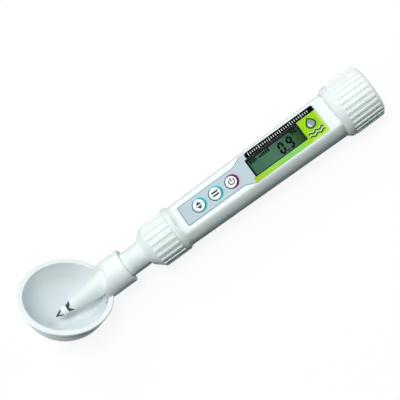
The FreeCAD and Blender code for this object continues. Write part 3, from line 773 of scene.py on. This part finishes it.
edge_grey = printed("edge_grey", (0.17, 0.22, 0.24))
edge = ring_strips(label_outline(LINE_INSET), label_outline(LINE_INSET + LINE_WIDTH))
line_end = label_low.x + NARROW_LENGTH + SHOULDER_LENGTH + 0.1 * MM
edge = [polygon for polygon in edge if max(x for x, y in polygon) < line_end]
printed_plate("label_edge_line", edge, edge_grey)
print("label", in_mm((*label_low, *label_high)))

# %% [markdown]
# A black strip stands above the display. Its edges are measured from the lens and the label, so that it keeps
# its place between them if either changes.

# %% Black strip
LENS_MARGIN = 1.2 * MM
window_front = lens_low.x + LENS_MARGIN
window_back = lens_high.x - LENS_MARGIN
window_half = lens_high.y - LENS_MARGIN
strip_front = window_front + 1.1 * MM
strip_back = label_high.x - 0.35 * MM
strip_low = window_half + 0.05 * MM
strip_high = label_high.y - 0.2 * MM
STRIP_CORNERS = (0.3 * MM, 0, 0.9 * MM, 1.5 * MM)

print_black = printed("print_black", (0.003, 0.004, 0.0045), roughness=0.5, gloss=0.0)
strip = rounded_box(strip_front, strip_back, strip_low, strip_high, STRIP_CORNERS)
printed_plate("black_strip", [strip], print_black)
print("window", in_mm((window_back - window_front, 2 * window_half)))

# %% [markdown]
# A lime square stands beside the display and a lime band below it. The square pales towards the label's
# outer edges, and the band runs from yellow-lime to a cooler green and back. Each has its own plate and ink,
# because one ink for both would need a mask for each colour. Over them, a black line borders the window.

# %% Lime square, band and window line
LIME = ((0.30, 0.62, 0.006), (0.36, 0.66, 0.010))
LIME_PALE = (0.62, 0.78, 0.20)
BAND_GREENS = [
    (0.0, (0.31, 0.52, 0.022)), (0.30, (0.33, 0.60, 0.050)), (0.52, (0.25, 0.58, 0.10)),
    (0.70, (0.22, 0.58, 0.14)), (0.88, (0.27, 0.60, 0.08)), (1.0, (0.32, 0.62, 0.015))]
OVERLAP = 0.05 * MM
SQUARE_CORNERS = (0, 1.0 * MM, 0, 0)
BAND_CORNERS = (0.9 * MM, 0, 0, 0.2 * MM)
square_back = label_high.x - 0.1 * MM
lime_low = label_low.y + 0.1 * MM
band_front = window_front - 2.0 * MM
band_high = -window_half - 0.02 * MM
WINDOW_LINE = 0.5 * MM


def square_finish(name):
    """Bright lime that pales towards the label's end, and towards its lower edge at the back."""
    material, tree, shader = new_material(name)
    x, y, z = axis_parts(tree)
    lower = 1 - y.step(lime_low, lime_low + 1.8 * MM)
    lower = lower * x.step(window_back, window_back + 5.0 * MM)
    pale = x.step(square_back - 2.6 * MM, square_back).math("MAXIMUM", lower)
    ink = mix_colour(noise(tree, 300.0, 2.0).step(0.35, 0.7), *LIME)
    wire(tree, mix_colour(pale * 0.8, ink, LIME_PALE), shader, "Base Color")
    set_gloss(shader, LABEL_ROUGHNESS, INK_GLOSS)
    return material


def band_finish(name):
    """Yellow-lime at the band's ends, a cooler green in its middle."""
    material, tree, shader = new_material(name)
    share = along_x(tree, band_front, window_back) + (noise(tree, 240.0, 2.0) - 0.5) * 0.10
    wire(tree, colour_ramp(share, BAND_GREENS), shader, "Base Color")
    set_gloss(shader, LABEL_ROUGHNESS, INK_GLOSS)
    return material


square = rounded_box(window_back + OVERLAP, square_back, lime_low, strip_low, SQUARE_CORNERS)
printed_plate("lime_square", [square], square_finish("lime_ink"))
band = rounded_box(band_front, window_back + OVERLAP, lime_low, band_high, BAND_CORNERS)
printed_plate("lime_band", [band], band_finish("lime_band_ink"))

window = rounded_box(window_front, window_back, -window_half, window_half)
window_rim = rounded_box(window_front - WINDOW_LINE, window_back + WINDOW_LINE,
                         -window_half - WINDOW_LINE, window_half)
window_line = ring_strips(window_rim, window)
printed_plate("window_line", window_line[:2] + window_line[3:], print_black, 2)
print("lime square", in_mm([square_back - window_back]))

# %% [markdown]
# The black strip carries a white tick scale. Ticks repeat, so a node tree makes them: points on a line, a bar
# on each, and a longer bar on every fifth. Its inputs are the number of ticks and their sizes. It ends with
# real geometry and a material, because an export drops instances, and is then turned into a plain mesh.

# %% Tick scale by Geometry Nodes
TICK_PITCH = 1.45 * MM
TICK_WIDTH = 0.36 * MM
TICK_SHORT = 1.3 * MM
TICK_LONG = 2.2 * MM
TICK_START = 2.4 * MM
TICK_ROOM = 4.0 * MM
TICK_SIZES = ("Pitch", "Width", "Short", "Long", "Depth")


def vector(tree, *parts):
    return add_node(tree, "ShaderNodeCombineXYZ", {}, parts)


def tick_tree(material):
    """Geometry nodes that set upright ticks along +X from the origin, every fifth one longer."""
    tree = bpy.data.node_groups.new("tick_scale", "GeometryNodeTree")
    panel = tree.interface
    panel.new_socket("Geometry", in_out="OUTPUT", socket_type="NodeSocketGeometry")
    panel.new_socket("Count", in_out="INPUT", socket_type="NodeSocketInt")
    for name in TICK_SIZES:
        panel.new_socket(name, in_out="INPUT", socket_type="NodeSocketFloat")
    given = {name: add_node(tree, "NodeGroupInput", {}, (), name) for name in ("Count", *TICK_SIZES)}
    line = {"Count": given["Count"], "Offset": vector(tree, given["Pitch"], 0.0, 0.0)}
    row = add_node(tree, "GeometryNodeMeshLine", {"mode": "OFFSET"}, line)
    index = add_node(tree, "GeometryNodeInputIndex", {})
    fifth = index.math("MODULO", 5.0).math("LESS_THAN", 0.5)
    height = given["Short"] + fifth * (given["Long"] - given["Short"])
    section = vector(tree, given["Width"], 1.0, given["Depth"])
    bar = add_node(tree, "GeometryNodeMeshCube", {}, {"Size": section})
    stretch = vector(tree, 1.0, height, 1.0)
    placed = add_node(tree, "GeometryNodeInstanceOnPoints", {},
                      {"Points": row, "Instance": bar, "Scale": stretch})
    real = add_node(tree, "GeometryNodeRealizeInstances", {}, {"Geometry": placed})
    inked = add_node(tree, "GeometryNodeSetMaterial", {}, {"Geometry": real, "Material": material})
    add_node(tree, "NodeGroupOutput", {}, (inked,))
    return tree


def bake_nodes(name, tree, values):
    """Run a node tree on an empty mesh with the named values, and give back a plain mesh."""
    holder = add_object(name, bpy.data.meshes.new(name))
    modifier = holder.modifiers.new("nodes", "NODES")
    modifier.node_group = tree
    for item in tree.interface.items_tree:
        if item.in_out == "INPUT":
            modifier[item.identifier] = values[item.name]
    sight = bpy.context.evaluated_depsgraph_get()
    mesh = bpy.data.meshes.new_from_object(holder.evaluated_get(sight))
    bpy.data.objects.remove(holder)
    mesh.name = name
    return mesh


print_white = printed("print_white", (0.86, 0.88, 0.88))
tick_count = int((strip_back - strip_front - TICK_ROOM) / TICK_PITCH)
ticks = bake_nodes("scale_ticks", tick_tree(print_white), {
    "Count": tick_count, "Pitch": TICK_PITCH, "Width": TICK_WIDTH, "Short": TICK_SHORT, "Long": TICK_LONG,
    "Depth": INK})
tick_middle = (strip_low + strip_high) / 2
ticks.transform(Matrix.Translation((strip_front + TICK_START, tick_middle, label_top + 1.5 * INK)))
show("scale_ticks", ticks, print_white, "meter_body")
print("ticks", tick_count, "faces", len(ticks.polygons))

# %% [markdown]
# The lime square holds a plain sign for a liquid: a drop above two waves, with a dark outline, a grey fill
# and a white glint. The drop's outline is an arc and a point, and the waves are rows of short slanted bars
# along a sine line.

# %% Drop and waves
SIGN_X = (window_back + square_back) / 2 + 0.2 * MM
SIGN_Y = 0.2 * MM
DROP_RADIUS = 3.1 * MM
DROP_HEIGHT = 7.6 * MM
SIGN_LINE = 0.95 * MM
GLINT_RADII = (1.75 * MM, 1.05 * MM)
WAVE_ROWS = (-4.8 * MM, -6.9 * MM)
WAVE_HALF = 5.0 * MM
WAVE_RISE = 0.5 * MM
WAVE_COUNT = 2.5
WAVE_STEPS = 24
WAVE_LIGHT = 0.3 * MM
WAVE_LIGHT_UP = 0.65 * MM


def drop_outline(radius, height):
    """A drop about the sign's middle: an arc below, and two straight sides that meet at the tip."""
    half_angle = math.degrees(math.asin(radius / (height - radius)))
    low_arc = arc(SIGN_X, SIGN_Y, radius, 180 - half_angle, 360 + half_angle, 14)
    return low_arc + [(SIGN_X, SIGN_Y + height - radius)]


def wave_strip(y, width):
    """Polygons of a wavy line across the square."""
    shares = [i / WAVE_STEPS for i in range(WAVE_STEPS + 1)]
    points = [(SIGN_X - WAVE_HALF + 2 * WAVE_HALF * share,
               y + WAVE_RISE * math.sin(2 * math.pi * WAVE_COUNT * share)) for share in shares]
    half = width / 2
    return [[(ax, ay - half), (bx, by - half), (bx, by + half), (ax, ay + half)]
            for (ax, ay), (bx, by) in zip(points, points[1:])]


dark_green = printed("dark_green_ink", (0.020, 0.085, 0.020))
sign_grey = printed("sign_grey_ink", (0.28, 0.37, 0.36))
outer_drop = drop_outline(DROP_RADIUS, DROP_HEIGHT)
inner_drop = drop_outline(DROP_RADIUS - SIGN_LINE, DROP_HEIGHT - 2.2 * SIGN_LINE)
printed_plate("drop_outline", ring_strips(outer_drop, inner_drop), dark_green, 2)
printed_plate("drop_fill", [inner_drop], sign_grey, 2)
glint = ring_strips(*[arc(SIGN_X, SIGN_Y, radius, 150, 260, 8) for radius in GLINT_RADII])[:-1]
printed_plate("drop_glint", glint, print_white, 3)
for number, y_wave in enumerate(WAVE_ROWS, start=1):
    printed_plate("wave_%d" % number, wave_strip(y_wave, SIGN_LINE), dark_green, 2)
    pale = wave_strip(y_wave + WAVE_LIGHT_UP, WAVE_LIGHT)
    printed_plate("wave_light_%d" % number, pale, print_white, 2)
print("drop's height", in_mm([DROP_HEIGHT]))

# %% [markdown]
# A display cell makes its digits from seven bars. A font would give rounded figures, so each bar is cut here
# as a six-sided polygon, and a digit is the letters of its lit bars. The reading is 0.9, with a percent sign.

# %% Digits on the display
DIGIT_WIDTH = 3.9 * MM
DIGIT_HEIGHT = 7.8 * MM
BAR = 1.42 * MM
BAR_GAP = 0.03 * MM
DIGIT_LOW = -4.3 * MM
LEAN = 0.05
SEGMENTS = {"0": "abcdef", "9": "abcdfg"}
READING = {"0": window_front + 18.6 * MM, "9": window_front + 24.3 * MM}
POINT_X = window_front + 23.4 * MM
POINT_SIZE = 1.0 * MM
PERCENT_X = window_front + 31.2 * MM
PERCENT_Y = 3.8 * MM
SLASH = ((-1.7, -1.5), (-0.8, -1.5), (1.7, 1.3), (0.8, 1.3))
PERCENT_RINGS = ((-1.15, 0.55), (1.15, -0.65))
PERCENT_RADII = (0.85 * MM, 0.18 * MM)
display_top = glass_high.z


def bar_between(x0, y0, x1, y1):
    """One bar of a digit: a six-sided polygon from one corner of the figure to the next."""
    length = math.hypot(x1 - x0, y1 - y0)
    ux, uy = (x1 - x0) / length, (y1 - y0) / length
    half = BAR / 2
    near, far = BAR_GAP, length - BAR_GAP
    stations = [(near, 0), (near + half, half), (far - half, half), (far, 0), (far - half, -half),
                (near + half, -half)]
    return [(x0 + ux * s - uy * t, y0 + uy * s + ux * t) for s, t in stations]


def digit(figure, x_left):
    """Polygons of a seven-bar figure, leaning a little to the right."""
    x0, x1 = BAR / 2, DIGIT_WIDTH - BAR / 2
    y0, y1 = BAR / 2, DIGIT_HEIGHT - BAR / 2
    middle = (y0 + y1) / 2
    ends = {"a": (x0, y1, x1, y1), "b": (x1, middle, x1, y1), "c": (x1, y0, x1, middle),
            "d": (x0, y0, x1, y0), "e": (x0, y0, x0, middle), "f": (x0, middle, x0, y1),
            "g": (x0, middle, x1, middle)}
    bars = [bar_between(*ends[letter]) for letter in SEGMENTS[figure]]
    return [[(x_left + x + LEAN * y, DIGIT_LOW + y) for x, y in bar] for bar in bars]


digit_ink = printed("display_dark", (0.001, 0.008, 0.006), roughness=0.5, gloss=0.0)


def on_display(name, polygons):
    """Dark ink on the display's glass."""
    mesh = plate_mesh(name, polygons, display_top, display_top + INK)
    show(name, mesh, digit_ink, "meter_body")


for figure, x_left in READING.items():
    on_display("digit_" + figure, digit(figure, x_left))
point = rounded_box(POINT_X - POINT_SIZE / 2, POINT_X + POINT_SIZE / 2, DIGIT_LOW, DIGIT_LOW + POINT_SIZE)
on_display("decimal_point", [point])
percent = [[(PERCENT_X + dx * MM, PERCENT_Y + dy * MM) for dx, dy in SLASH]]
for dx, dy in PERCENT_RINGS:
    centre = (PERCENT_X + dx * MM, PERCENT_Y + dy * MM)
    percent += ring_strips(*[arc(*centre, radius, 0, 330, 11) for radius in PERCENT_RADII])
on_display("percent_sign", percent)
print("bars in the reading:", sum(len(SEGMENTS[figure]) for figure in READING))

# %% [markdown]
# Small signs stand at the top left of the display: a battery outline with its charge bars, and a row of level
# bars that grow to the right. One function sets both rows of bars.

# %% Small signs on the display
ICON_Y = 2.7 * MM
ICON_HEIGHT = 2.2 * MM
ICON_LINE = 0.52 * MM
BATTERY_X = window_front + 1.2 * MM
BATTERY_LENGTH = 4.4 * MM
TERMINAL = 0.5 * MM
TERMINAL_LOW, TERMINAL_HIGH = ICON_Y + 0.6 * MM, ICON_Y + 1.6 * MM
CHARGE_LOW = ICON_Y + 0.62 * MM
CHARGE_HEIGHTS = (0.96,) * 3
LEVEL_HEIGHTS = (1.3, 1.55, 1.8, 2.05, 2.3)


def bar_row(start, pitch, width, low, heights):
    """Upright bars in a row from the battery's left end, all but low in millimetres."""
    lefts = [BATTERY_X + (start + pitch * i) * MM for i in range(len(heights))]
    return [rounded_box(x, x + width * MM, low, low + height * MM) for x, height in zip(lefts, heights)]


battery_end = BATTERY_X + BATTERY_LENGTH
outer = rounded_box(BATTERY_X, battery_end, ICON_Y, ICON_Y + ICON_HEIGHT)
inner = rounded_box(BATTERY_X + ICON_LINE, battery_end - ICON_LINE,
                    ICON_Y + ICON_LINE, ICON_Y + ICON_HEIGHT - ICON_LINE)
terminal = rounded_box(battery_end, battery_end + TERMINAL, TERMINAL_LOW, TERMINAL_HIGH)
charge = bar_row(0.65, 1.1, 0.8, CHARGE_LOW, CHARGE_HEIGHTS)
on_display("battery_sign", ring_strips(outer, inner) + [terminal] + charge)
on_display("level_bars", bar_row(6.2, 1.5, 1.15, ICON_Y, LEVEL_HEIGHTS))
print("battery", in_mm((BATTERY_LENGTH, ICON_HEIGHT)))

# %% [markdown]
# Each key is a white disc in a dark ring, with a coloured crescent on the side towards the display. The
# crescent lies partly on the label, as a plate of ink, and partly on the moving key. There the plastic's own
# colour changes outside a shifted circle, so that it also runs over the key's round edge.

# %% Finishes of the crescents
RING_INNER = 3.84 * MM
RING_OUTER = 4.30 * MM
CRESCENT_COLOURS = {
    1: [(0.28, (0.10, 0.020, 0.060)), (0.36, (0.030, 0.003, 0.015)), (0.52, (0.035, 0.003, 0.020)),
        (0.66, (0.085, 0.010, 0.055)), (0.76, (0.040, 0.006, 0.025))],
    2: [(0.28, (0.15, 0.40, 0.50)), (0.42, (0.010, 0.30, 0.38)), (0.55, (0.010, 0.36, 0.42)),
        (0.68, (0.16, 0.52, 0.58)), (0.76, (0.30, 0.62, 0.50))],
    3: [(0.28, (0.10, 0.40, 0.36)), (0.42, (0.03, 0.36, 0.30)), (0.56, (0.05, 0.38, 0.36)),
        (0.68, (0.14, 0.42, 0.58)), (0.78, (0.40, 0.58, 0.72))],
}


def crescent_colour(tree, cx, stops):
    """A colour that turns with the angle about the key's centre."""
    x, y, z = axis_parts(tree)
    angle = y.math("ARCTAN2", x - cx)
    return colour_ramp(angle * (1 / (2 * math.pi)) + 0.5, stops)


def crescent_ink(name, cx, stops, outer, halo):
    """The crescent's ink on the label, which fades to its halo towards the outside."""
    material, tree, shader = new_material(name)
    x, y, z = axis_parts(tree)
    fade = length_of(x - cx, y).step(RING_OUTER - 0.3 * MM, outer + 0.3 * MM)
    wire(tree, mix_colour(fade, crescent_colour(tree, cx, stops), halo), shader, "Base Color")
    set_gloss(shader, LABEL_ROUGHNESS, INK_GLOSS)
    return material


def crescent_paint(cx, stops, inner, shift):
    """The key's own part of the crescent: all that lies outside a circle shifted towards the probe."""
    def paint(tree, base):
        x, y, z = axis_parts(tree)
        reach = length_of(x - (cx - shift), y)
        inked = reach.step(inner - 0.05 * MM, inner + 0.05 * MM)
        return mix_colour(inked, base, crescent_colour(tree, cx, stops))
    return paint


print("crescents", list(CRESCENT_COLOURS))

# %% [markdown]
# A ring is a strip between two circles. A crescent's plate starts at the hole's edge, and its width falls
# with the fourth power of the angle, which keeps it wide for most of its length and then tapers it quickly.

# %% Rings and crescents of the keys
CRESCENTS = {         # outer edge on the label, then the key's circle and its shift
    1: (4.55 * MM, 3.50 * MM, 0.50 * MM),
    2: (5.0 * MM, 3.60 * MM, 0.30 * MM),
    3: (5.0 * MM, 3.60 * MM, 0.30 * MM),
}
CRESCENT_REACH = 112.0
CRESCENT_STEPS = 36
KEY_COLOURS = {1: (0.90, 0.87, 0.91), 2: (0.87, 0.93, 0.95), 3: (0.87, 0.93, 0.95)}


def crescent_polygons(cx, far):
    """The label's part of a crescent: from the hole's edge out to a taper at both ends."""
    inner_arc, outer_arc = [], []
    for i in range(CRESCENT_STEPS + 1):
        share = i / CRESCENT_STEPS * 2 - 1
        angle = math.radians(CRESCENT_REACH * share)
        outer = RING_INNER + (far - RING_INNER) * max(0.02, 1 - share ** 4)
        for points, radius in ((inner_arc, RING_INNER), (outer_arc, outer)):
            points.append((cx + radius * math.cos(angle), radius * math.sin(angle)))
    return ring_strips(inner_arc, outer_arc)[:-1]


ring_dark = printed("ring_dark", (0.040, 0.062, 0.075))
for number, cx in key_centre.items():
    circles = [arc(cx, 0, radius, 0, 360, 60)[:-1] for radius in (RING_OUTER, RING_INNER)]
    printed_plate("key_ring_%d" % number, ring_strips(*circles), ring_dark)
    outer, inner, shift = CRESCENTS[number]
    stops = CRESCENT_COLOURS[number]
    ink = crescent_ink("crescent_%d" % number, cx, stops, outer, HALOS[number])
    printed_plate("crescent_%d" % number, crescent_polygons(cx, outer), ink, 2)
    paint = crescent_paint(cx, stops, inner, shift)
    key_white = moulding("key_white_%d" % number, KEY_COLOURS[number], 0.32, 0.02, paint=paint)
    dress("button_%d" % number, key_white)
print("keys ringed:", len(key_centre))

# %% [markdown]
# Each key carries a small dark grey sign: a ring with a bar for power, two bars for hold, and two triangles
# for up and down. A key has a shallow dish in its top, so each sign's points are lifted to follow it, and
# long bars are cut into columns that can bend with it.

# %% Signs on the keys
DISH_RADIUS = 3.1 * MM
DISH_DEPTH = 0.25 * MM
DISH_BALL = (DISH_RADIUS ** 2 + DISH_DEPTH ** 2) / (2 * DISH_DEPTH)
POWER_RADII = (2.0 * MM, 1.35 * MM)
POWER_BAR = (0.33 * MM, 2.3 * MM)
HOLD_HALF = 2.1 * MM
HOLD_ROWS = ((0.4 * MM, 1.5 * MM), (-1.5 * MM, -0.4 * MM))
ARROW_HALF, ARROW_BASE, ARROW_TIP = 1.8 * MM, 0.4 * MM, 2.4 * MM


def key_surface(number, cx):
    """Height of a key's top at a point: flat at the edge, with a shallow dish in the middle."""
    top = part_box("button_%d" % number)[1].z

    def height(x, y):
        radius = math.hypot(x - cx, y)
        if radius >= DISH_RADIUS:
            return top
        return top - DISH_DEPTH + DISH_BALL - math.sqrt(DISH_BALL ** 2 - radius ** 2)

    return height


def bar_grid(x0, x1, y0, y1, columns):
    """A bar cut into columns, so that it can follow a curved surface."""
    width = (x1 - x0) / columns
    return [rounded_box(x0 + i * width, x0 + (i + 1) * width, y0, y1) for i in range(columns)]


def power_sign(cx):
    half, top = POWER_BAR
    ring = ring_strips(*[arc(cx, 0, radius, 125, 415, 26) for radius in POWER_RADII])[:-1]
    return ring + bar_grid(cx - half, cx + half, 0.0, top, 1)


def hold_sign(cx):
    upper, lower = [bar_grid(cx - HOLD_HALF, cx + HOLD_HALF, y0, y1, 7) for y0, y1 in HOLD_ROWS]
    return upper + lower


def arrow_sign(cx):
    left, right = cx - ARROW_HALF, cx + ARROW_HALF
    return [[(left, way * ARROW_BASE), (right, way * ARROW_BASE), (cx, way * ARROW_TIP)] for way in (1, -1)]


sign_ink = printed("key_sign_ink", (0.045, 0.060, 0.065))
for number, sign in ((1, power_sign), (2, hold_sign), (3, arrow_sign)):
    cx = key_centre[number]
    printed_plate("key_sign_%d" % number, sign(cx), sign_ink, 1, "key_%d" % number,
                  key_surface(number, cx))
print("dish in each key", in_mm([DISH_DEPTH]))
